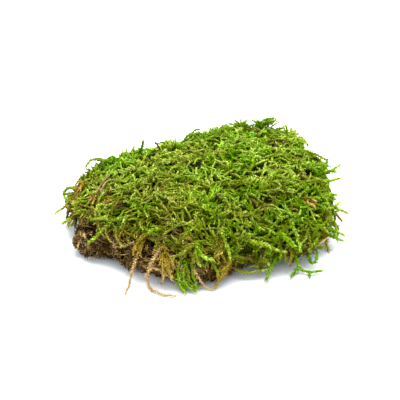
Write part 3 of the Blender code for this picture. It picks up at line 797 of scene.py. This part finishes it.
def filler(heap, tree, place, normal, rng):
    """A short shoot whose middle lies in a gap between the others."""
    heading = heading_at(place, normal, rng)
    half = heading * (0.5 * rng.uniform(*FILLER_LENGTH))
    start = place - half - normal * FILLER_DEPTH[0]
    end = held_in(tree, place + half - normal * FILLER_DEPTH[1], FILLER_PROUD)
    path = arc(start, unit(heading + 0.8 * normal), end, rng)
    tint = tint_at(place, rng)
    glow = (GAP_LIGHT, FILLER_LIGHT * light_at(place, rng))
    leafy(heap, path, tint, glow, rng, girth_at(place, rng))


def hanger(heap, felt, place, rng):
    """A shoot that hangs down from the mat's lower edge, over the felt or towards the ground."""
    outward = outward_at(place)
    aside = sideways(outward, HANGER_SPREAD, rng)
    length = rng.uniform(*HANGER_LENGTH)
    start = place - outward * 3
    way = unit(outward + aside + (0, 0, rng.gauss(-0.2, 0.3)))
    end = start + length * unit(0.5 * outward + aside + (0, 0, rng.uniform(*HANGER_FALL)))
    end[2] = max(end[2], 1.5)
    near, normal = felt.find_nearest(Vector(end))[:2]
    clear = (Vector(end) - near).dot(normal)
    if clear < 1:
        end = end + np.array(normal) * (1 - clear)
    like_mat = rng.random() < HANGERS_LIKE_MAT
    tint = tint_at(place, rng) if like_mat else rng.uniform(*HANGER_TINTS)
    leafy(heap, arc(start, way, end, rng), tint, (EDGE_LIGHT, light_at(place, rng)), rng,
          HANGER_GIRTH * girth_at(place, rng))


def fringe(heap, place, normal, rng):
    """A short olive or golden shoot at the mat's lower edge, where it meets the open felt."""
    outward = outward_at(place)
    aside = sideways(outward, FRINGE_SPREAD, rng)
    start = place - normal * 2.5
    length = rng.uniform(*FRINGE_LENGTH)
    end = start + length * unit(outward + aside - (0, 0, rng.uniform(*FRINGE_FALL)))
    glow = (BASE_LIGHT, rng.uniform(*FRINGE_LIGHT))
    path = arc(start, unit(outward + aside), end, rng)
    leafy(heap, path, rng.uniform(*FRINGE_TINTS), glow, rng, FRINGE_GIRTH)


def accent(heap, tint, girth, points, rng):
    """A single shoot that stands out from the rest."""
    light, spread = ACCENT_LIGHT, LEAF_SPREAD
    if tint < DEAD_TINT:
        light, spread = DEAD_ACCENT_LIGHT, SHAGGY
    leafy(heap, points, tint, (EDGE_LIGHT, light), rng, ACCENT_GIRTH * girth, spread=spread)


def tuft(heap, tint, root, tips, rng):
    """Shaggy shoots that fan out from one place."""
    root = np.array(root, float)
    lights = np.array(DEAD_TUFT_LIGHT if tint < DEAD_TINT else TUFT_LIGHT) * daylight(root)
    for tip in tips:
        for share in TUFT_SHARES:
            start = root + scattered(1.0, rng)
            end = root + (np.array(tip) - root) * share + (1 - share) * rng.gauss(0, 2)
            end[2] = max(end[2], 1)
            way = unit(unit(end - start) + scattered(0.3, rng))
            glow = (EDGE_LIGHT, share * rng.uniform(*lights))
            path = arc(start, way, end, rng)
            leafy(heap, path, tint + rng.gauss(0, TUFT_TINTS), glow, rng,
                  rng.uniform(*TUFT_GIRTHS), spread=SHAGGY)


def underlay(heap, tree, place, normal, rng):
    """A stem deep in the mat, dulled by painted shade."""
    heading = heading_at(place, normal, rng)
    length = rng.uniform(*UNDERLAY_LENGTH)
    bend = rng.gauss(0, UNDERLAY_BEND)
    path, _ = creep(tree, place, heading, length, UNDERLAY_DEPTH, bend)
    tint = drawn_from(UNDERLAY_TINTS, rng)
    light = np.interp(place[1], *UNDERLAY_LIGHT_BY_Y)
    leafy(heap, path, tint, (0.4 * light, light), rng, UNDERLAY_GIRTH, UNDERLAY_LEAVES)


# ---- materials
def new_material(name):
    material = bpy.data.materials.new(name)
    material.use_nodes = True
    nodes = material.node_tree.nodes
    return material, nodes, material.node_tree.links, nodes["Principled BSDF"]


def ramp(nodes, links, value, stops):
    """The colour for a value, from a ramp with a stop for each place and colour."""
    node = nodes.new("ShaderNodeValToRGB")
    elements = node.color_ramp.elements
    while len(elements) < len(stops):
        elements.new(0.5)
    for element, (place, colour) in zip(elements, stops):
        element.position = place
        element.color = (*colour, 1)
    links.new(value, node.inputs[0])
    return node.outputs[0]


def noise_on(nodes, links, places, scale, detail):
    """Noise from 0 to 1 over the places."""
    node = nodes.new("ShaderNodeTexNoise")
    node.inputs["Scale"].default_value = scale
    node.inputs["Detail"].default_value = detail
    links.new(places, node.inputs["Vector"])
    return node.outputs[0]


def between(nodes, links, value, low, high):
    """A value from 0 to 1, brought to between low and high."""
    node = nodes.new("ShaderNodeMapRange")
    node.inputs["To Min"].default_value = low
    node.inputs["To Max"].default_value = high
    links.new(value, node.inputs["Value"])
    return node.outputs[0]


def roughen(nodes, links, shader, mottle, roughness, strength, height):
    """Roughness and bumps from a noise; the height of the bumps is in metres."""
    links.new(between(nodes, links, mottle, *roughness), shader.inputs["Roughness"])
    bump = nodes.new("ShaderNodeBump")
    bump.inputs["Strength"].default_value = strength
    bump.inputs["Distance"].default_value = height
    links.new(mottle, bump.inputs["Height"])
    links.new(bump.outputs[0], shader.inputs["Normal"])


def palette_material(name, tints, roughness, shade_saturation):
    """Colour from a palette: across it the tint, and up it from shaded base to lit tip."""
    material, nodes, links, shader = new_material(name)
    mark = nodes.new("ShaderNodeUVMap")
    mark.uv_map = "OFBake"
    split = nodes.new("ShaderNodeSeparateXYZ")
    links.new(mark.outputs["UV"], split.inputs[0])
    across, up = split.outputs["X"], split.outputs["Y"]
    blend = nodes.new("ShaderNodeMix")
    blend.data_type = "RGBA"
    links.new(up, blend.inputs["Factor"])
    shaded = [(place, low) for place, low, _ in tints]
    lit = [(place, high) for place, _, high in tints]
    links.new(ramp(nodes, links, across, shaded), blend.inputs[6])
    links.new(ramp(nodes, links, across, lit), blend.inputs[7])
    mottle = noise_on(nodes, links, mark.outputs["UV"], scale=90, detail=3)
    vary = nodes.new("ShaderNodeHueSaturation")
    links.new(blend.outputs[2], vary.inputs["Color"])
    links.new(between(nodes, links, up, shade_saturation, 1), vary.inputs["Saturation"])
    links.new(between(nodes, links, mottle, 0.8, 1.2), vary.inputs["Value"])
    links.new(vary.outputs[0], shader.inputs["Base Color"])
    roughen(nodes, links, shader, mottle, roughness, strength=0.3, height=0.0002)
    shader.inputs["Specular IOR Level"].default_value = 0.0
    return material


def earth_material(name, dark, light, scale):
    """A matt, mottled surface for what shows between the shoots."""
    material, nodes, links, shader = new_material(name)
    where = nodes.new("ShaderNodeTexCoord")
    mottle = noise_on(nodes, links, where.outputs["Object"], scale, detail=6)
    colour = ramp(nodes, links, mottle, [(0.35, dark), (0.7, light)])
    links.new(colour, shader.inputs["Base Color"])
    roughen(nodes, links, shader, mottle, (0.85, 1.0), strength=1.0, height=0.001)
    shader.inputs["Specular IOR Level"].default_value = 0.02
    return material


# ---- pieces
def core(name, node, material, sunk, floor, rounds):
    """A node's solid, smoothed and drawn in: the dark inside that shows through gaps, painted
    shade for the mat and humus for the felt.
    """
    body = bmesh.new()
    body.from_mesh(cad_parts[node].data)
    bmesh.ops.remove_doubles(body, verts=body.verts[:], dist=1e-6)
    for _ in range(rounds):
        bmesh.ops.smooth_vert(body, verts=body.verts[:], factor=0.5, use_axis_x=True,
                              use_axis_y=True, use_axis_z=True)
    body.normal_update()
    for corner in body.verts:
        corner.co -= corner.normal * (sunk * MM)
        corner.co.z = max(corner.co.z, floor * MM)
    mesh = bpy.data.meshes.new(name)
    body.to_mesh(mesh)
    body.free()
    mesh.materials.append(material)
    mesh.shade_smooth()
    return settle(bpy.data.objects.new(name, mesh), [node])


def cores():
    # The mat's core is a dark body of painted shade deep between the shoots; the felt's core is
    # its humus.
    shade = earth_material("moss_shade", (0.008, 0.011, 0.001), (0.034, 0.038, 0.004), 260)
    core("moss_core", "moss_mat", shade, sunk=4.2, floor=4, rounds=12)
    humus = earth_material("humus", (0.012, 0.007, 0.004), (0.07, 0.04, 0.018), 300)
    core("felt_core", "root_felt", humus, sunk=1.5, floor=0.2, rounds=3)


def moss_pieces(material):
    """The mat's shoots, in sectors round its middle."""
    tree = tree_of("moss_mat")
    rng = random.Random(5)
    heaps = [Heap() for _ in range(SECTORS)]

    def sector(place):
        angle = math.atan2(place[1], place[0]) / TURN + 0.5
        return heaps[int(angle * SECTORS) % SECTORS]

    def showing(place, normal):
        return normal[2] > -0.45 and place[2] > 2

    def low_edge(place, normal):
        return -0.5 < normal[2] < 0.45 and 4 < place[2] < 20

    def over_felt(place, normal):
        return place[0] < 8 and place[1] < -25 and place[2] < 22 and normal[2] < 0.3

    for grow, apart in ((underlay, UNDERLAY_APART), (frond, FRONDS_APART), (riser, RISERS_APART)):
        for place, normal in places_on("moss_mat", apart, rng, showing):
            grow(sector(place), tree, place, normal, rng)
    grown = Cover([points for heap in heaps for points in heap.points])
    for place, normal in places_on("moss_mat", FILLERS_APART, rng, showing):
        if grown.open_at(place, normal):
            filler(sector(place), tree, place, normal, rng)
    felt = tree_of("root_felt")
    for place, normal in places_on("moss_mat", HANGERS_APART, rng, low_edge):
        hanger(sector(place), felt, place, rng)
    for place, normal in places_on("moss_mat", FRINGE_APART, rng, over_felt):
        fringe(sector(place), place, normal, rng)
    forward = np.array([0, -math.cos(CAMERA_RISE), math.sin(CAMERA_RISE)]) * ACCENT_PROUD
    for tint, girth, points in ACCENTS:
        accent(sector(points[0]), tint, girth, np.array(points) + forward, rng)
    for tint, root, tips in TUFTS:
        tuft(sector(root), tint, root, tips, rng)
    for number, heap in enumerate(heaps, 1):
        heap.piece("moss_shoots_%d" % number, material, "living_moss", ["moss_mat"])


def stray_shoots(material):
    rng = random.Random(8)
    heap = Heap()
    for name, (stem, sides) in SHOOTS.items():
        path = curve_through(stem, 12)
        tint = STRAY_TINTS.get(name, rng.uniform(*STRAY_GREENS))
        spread = SHAGGY if tint < FADED_TINT else STRAY_SPREAD
        leafy(heap, path, tint, STRAY_LIGHT, rng, STRAY_GIRTH, STRAY_LEAVES, spread)
        for number, *points in sides:
            side = curve_through([stem[number], *points], 6)
            leafy(heap, side, tint, SIDE_LIGHT, rng, SIDE_GIRTH, SIDE_LEAVES, STRAY_SPREAD)
    heap.piece("stray_shoots", material, "living_moss", list(SHOOTS))


def curling(tree, place, normal, length, rng):
    """A line that curls over a surface, now in it and now clear of it."""
    turn = rng.random() * TURN
    heading = np.cross(normal, (math.cos(turn), math.sin(turn), 0.4))
    path, ups = creep(tree, place, heading, length, (1.2, 0.0), rng.gauss(0, 0.2))
    waves = [rng.gauss(0.2, 0.9) for _ in path]
    waves[0] = -1.0
    return path + ups * np.array(waves)[:, None]


def felt_pieces(material):
    """The felt's dead shoots and bare fibres, where the mat leaves it open."""
    tree, mat = tree_of("root_felt"), tree_of("moss_mat")
    rng = random.Random(21)

    def showing(place, normal):
        if place[2] < 0.5 or math.dist(place[:2], SCRAP) < SCRAP_CLEAR:
            return False
        hit = mat.ray_cast(Vector(place + 0.2 * normal), Vector(normal), OPEN_FELT)[0]
        return hit is None

    stems, fibres = Heap(), Heap()
    for place, normal in places_on("root_felt", DEAD_SHOOTS_APART, rng, showing):
        tint = drawn_from(DEAD_SHOOT_TINTS, rng)
        if place[0] > YELLOW_X and rng.random() < YELLOW_SHARE:
            tint = YELLOW_TINT
        path = curling(tree, place, normal, rng.uniform(3, 7), rng)
        light = np.interp(place[2], *DEAD_LIGHT_BY_Z) * (0.02 + 0.98 * rng.random() ** 3.2)
        light *= np.interp(place[0], *DEAD_LIGHT_BY_X)
        leafy(stems, path, tint, (0.0, light), rng, 1.15, 2.0, (0.9, 0.6))
    for place, normal in places_on("root_felt", FIBRES_APART, rng, showing):
        path = curling(tree, place, normal, rng.uniform(3, 9), rng)
        thick = rng.uniform(*FIBRE)
        tint = rng.uniform(*FIBRE_TINTS)
        light = np.interp(place[2], *FIBRE_LIGHT_BY_Z) * (0.06 + 0.94 * rng.random() ** 1.6)
        lit = np.linspace(0.3 * light, light, len(path))
        marks = np.column_stack([np.full(len(path), tint), lit])
        rod(fibres, path, np.linspace(thick, 0.5 * thick, len(path)), 3, marks)
    stems.piece("felt_dead_shoots", material, "dead_felt", ["root_felt"])
    fibres.piece("felt_fibres", material, "dead_felt", ["root_felt"])


def rootlet(heap, path, thick, tint, rng):
    """A knobby rootlet with a few hairs."""
    path = curve_through(path, max(5, round(length_of(np.asarray(path, float)) / 1.3)))
    path[1:-1] += np.array([scattered(0.2, rng) for _ in path[1:-1]])
    half = len(path) // 2
    leafy(heap, path[:half + 1], tint, (0.45, 0.8), rng, thick / STEM, 3.0, (0.9, 0.7))
    leafy(heap, path[half:], tint, (0.75, 0.85), rng, 0.7 * thick / STEM, 3.0, (0.7, 0.4))
    for number in range(2, len(path) - 1):
        if rng.random() < 0.5:
            continue
        end = path[number] + unit(scattered(1, rng)) * rng.uniform(*HAIR_LENGTH)
        end[2] = max(end[2], LOWEST)
        hair = arc(path[number], unit(scattered(1, rng)), end, rng)
        rod(heap, hair, np.linspace(*HAIR, 4), 3, np.full((4, 2), (tint, 0.8)))


def rootlets(material):
    rng = random.Random(4)
    heap = Heap()
    for stem, sides in ROOTS.values():
        rootlet(heap, stem, ROOT, rng.uniform(*ROOT_TINTS), rng)
        for number, *points in sides:
            rootlet(heap, [stem[number], *points], SIDE_ROOT, rng.uniform(*ROOT_TINTS), rng)
    heap.piece("rootlet_strands", material, "rootlets", list(ROOTS))


def litter(material):
    """Twigs, and straws that are let down onto the mat."""
    rng = random.Random(6)
    mat = tree_of("moss_mat")
    heap = Heap()
    for tint, stem in TWIGS.values():
        path = curve_through(stem, 12)
        marks = np.array([(tint, rng.uniform(*TWIG_LIGHT)) for _ in path])
        rod(heap, path, np.linspace(*TWIG, len(path)), 7, marks)
    for points in STRAWS.values():
        stem = []
        for x, y, above in points:
            top = mat.ray_cast(Vector((x, y, 100)), Vector((0, 0, -1)))[0].z
            stem.append((x, y, top + above))
        path = curve_through(stem, 10)
        marks = np.array([(STRAW_TINT, rng.uniform(*STRAW_LIGHT)) for _ in path])
        rod(heap, path, np.linspace(*STRAW, len(path)), 6, marks)
    heap.piece("twigs_and_straws", material, "dry_litter", [*TWIGS, *STRAWS])


def leaf_scrap():
    """The scrap of leaf keeps its own solid, in a new material."""
    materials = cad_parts["leaf_scrap"].data.materials
    materials.clear()
    materials.append(earth_material("pale_leaf", (0.45, 0.3, 0.2), (0.75, 0.6, 0.5), 900))


# ---- the stage
def stage():
    bpy.ops.mesh.primitive_plane_add(size=FLOOR_SIZE, location=(0, 0, -0.0001))
    floor = bpy.context.object
    floor.name = "floor"
    material, *_, shader = new_material("white_floor")
    shader.inputs["Base Color"].default_value = (*FLOOR_COLOUR, 1)
    shader.inputs["Roughness"].default_value = 0.9
    shader.inputs["Specular IOR Level"].default_value = 0
    floor.data.materials.append(material)

    world = bpy.data.worlds.new("studio")
    world.use_nodes = True
    sky = world.node_tree.nodes["Background"]
    sky.inputs["Color"].default_value = (*SKY_COLOUR, 1)
    sky.inputs["Strength"].default_value = SKY_STRENGTH
    bpy.context.scene.world = world

    light = bpy.data.lights.new("softbox", "AREA")
    light.energy = SOFTBOX_POWER
    light.color = SOFTBOX_COLOUR
    light.size = SOFTBOX_SIZE
    box = bpy.data.objects.new("softbox", light)
    box.location = SOFTBOX_AT
    box.rotation_euler = (Vector((0, 0, 0)) - box.location).to_track_quat("-Z", "Y").to_euler()
    bpy.context.scene.collection.objects.link(box)
    bpy.context.scene.view_settings.view_transform = "Standard"


def camera():
    away = Vector((0, -math.cos(CAMERA_RISE), math.sin(CAMERA_RISE)))
    up = Vector((0, math.sin(CAMERA_RISE), math.cos(CAMERA_RISE)))
    pixel = CAMERA_AWAY * SENSOR / (LENS * PHOTO_SIDE)
    middle = Vector(LOOK_AT) + up * (LOOK_AT_PIXEL[1] - PHOTO_SIDE / 2) * pixel
    data = bpy.data.cameras.new("camera")
    data.lens = LENS
    data.sensor_width = SENSOR
    obj = bpy.data.objects.new("camera", data)
    obj.location = (Vector(LOOK_AT) + away * CAMERA_AWAY) * MM
    obj.rotation_euler = (middle * MM - obj.location).to_track_quat("-Z", "Y").to_euler()
    bpy.context.scene.collection.objects.link(obj)
    bpy.context.scene.camera = obj


def main():
    camera()
    stage()
    cores()
    moss = palette_material("moss_leaves", MOSS_TINTS, (0.5, 0.7), shade_saturation=1.2)
    moss_pieces(moss)
    stray_shoots(moss)
    dead = palette_material("dead_plant", DEAD_TINTS, (0.7, 0.9), shade_saturation=1.0)
    felt_pieces(dead)
    rootlets(dead)
    litter(dead)
    leaf_scrap()


main()
